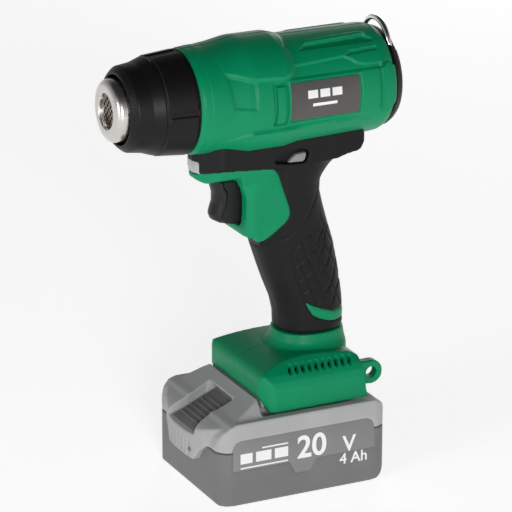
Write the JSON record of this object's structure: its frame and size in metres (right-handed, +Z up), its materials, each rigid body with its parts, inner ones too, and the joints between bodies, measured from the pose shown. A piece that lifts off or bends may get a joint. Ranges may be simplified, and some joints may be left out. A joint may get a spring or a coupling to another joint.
{
  "type": "cordless heat gun",
  "caption": "Cordless hot-air gun: round barrel with a steel outlet, pistol grip with trigger and lock-off button, and a slide-on battery pack in the foot.",
  "frame": {"origin": "centre of the battery pack's flat base, on the surface that the tool stands on", "axes": "+Z up, through the handle to the barrel; the outlet points along -X and the barrel runs along X; +Y across the tool, to the right of a user who looks along the outlet"},
  "size_m": [0.1609, 0.08, 0.2452],
  "materials": {
    "green_shell": "satin",
    "black_rubber": "soft satin",
    "black_plastic": "satin",
    "polished_steel": "polished",
    "mesh_steel": "heat tinted",
    "ceramic": "matt ceramic",
    "mica": "mica sheet",
    "heater_wire": "oxidised",
    "motor_steel": "zinc plated",
    "fan_plastic": "satin",
    "grey_button": "satin",
    "lens_clear": "clear",
    "board_green": "solder mask",
    "terminal_metal": "plated",
    "label_dark": "satin",
    "screw_steel": "black oxide",
    "lead_red": "insulation",
    "lead_black": "insulation",
    "pack_light": "satin",
    "pack_dark": "satin",
    "cell_wrap": "shrink sleeve",
    "nickel": "plated",
    "pack_label": "satin",
    "led_green": "clear"
  },
  "bodies": {
    "tool": {"housing_left": "green_shell", "housing_right": "green_shell", "grip_left": "black_rubber", "grip_right": "black_rubber", "nozzle_shroud": "black_plastic", "outlet_nozzle": "polished_steel", "outlet_screen": "mesh_steel", "heater_flange": "ceramic", "heater_core": "ceramic", "heater_coil": "heater_wire", "mica_sleeve": "mica", "thermal_fuse": "motor_steel", "motor_can": "motor_steel", "motor_mount": "black_plastic", "fan_duct": "black_plastic", "rear_cap": "black_plastic", "trigger_switch": "black_plastic", "led_lens": "lens_clear", "led_board": "board_green", "control_board": "board_green", "terminal_block": "black_plastic", "terminal_blades": "terminal_metal", "label_left": "label_dark", "label_right": "label_dark", "housing_screws": "screw_steel", "heater_leads": "lead_red", "motor_leads": "lead_black", "supply_leads": "lead_red"},
    "rotor": {"motor_shaft": "polished_steel", "impeller": "fan_plastic"},
    "trigger": {"trigger": "black_plastic", "trigger_spring": "motor_steel"},
    "lock_off": {"lock_off_button": "grey_button"},
    "ring": {"hanging_ring": "polished_steel"},
    "pack": {"battery_tray": "pack_dark", "battery_lid": "pack_light", "cell_holder": "black_plastic", "cells": "cell_wrap", "nickel_strips": "nickel", "battery_board": "board_green", "battery_terminals": "terminal_metal", "gauge_panel": "black_plastic", "gauge_leds": "led_green", "battery_labels": "pack_label", "battery_screws": "screw_steel", "latch_spring": "motor_steel"},
    "latch": {"latch_button": "pack_dark"},
    "gauge": {"gauge_button": "black_plastic"}
  },
  "joints": [
    {"name": "fan_spin", "type": "hinge", "parent": "tool", "child": "rotor", "pos_m": [0.01, 0, 0.2127], "axis": [1, 0, 0], "continuous": true},
    {"name": "trigger_press", "type": "slide", "parent": "tool", "child": "trigger", "axis": [1, 0, 0], "range_m": [0, 0.006], "stiffness_N_per_m": 400, "springref_m": -0.01, "deforming": ["trigger_spring"]},
    {"name": "lock_off_slide", "type": "slide", "parent": "tool", "child": "lock_off", "axis": [0, 1, 0], "range_m": [-0.0025, 0.0025]},
    {"name": "ring_fold", "type": "hinge", "parent": "tool", "child": "ring", "pos_m": [0.0606, 0, 0.2287], "axis": [0, 1, 0], "range_deg": [0, 95]},
    {"name": "pack_slide", "type": "slide", "parent": "tool", "child": "pack", "axis": [-1, 0, 0], "range_m": [0, 0.1]},
    {"name": "latch_press", "type": "slide", "parent": "pack", "child": "latch", "axis": [0, 0, -1], "range_m": [0, 0.0015], "stiffness_N_per_m": 900, "springref_m": -0.006, "deforming": ["latch_spring"]},
    {"name": "gauge_press", "type": "slide", "parent": "pack", "child": "gauge", "axis": [1, 0, 0], "range_m": [0, 0.0005], "stiffness_N_per_m": 300, "springref_m": -0.002}
  ]
}
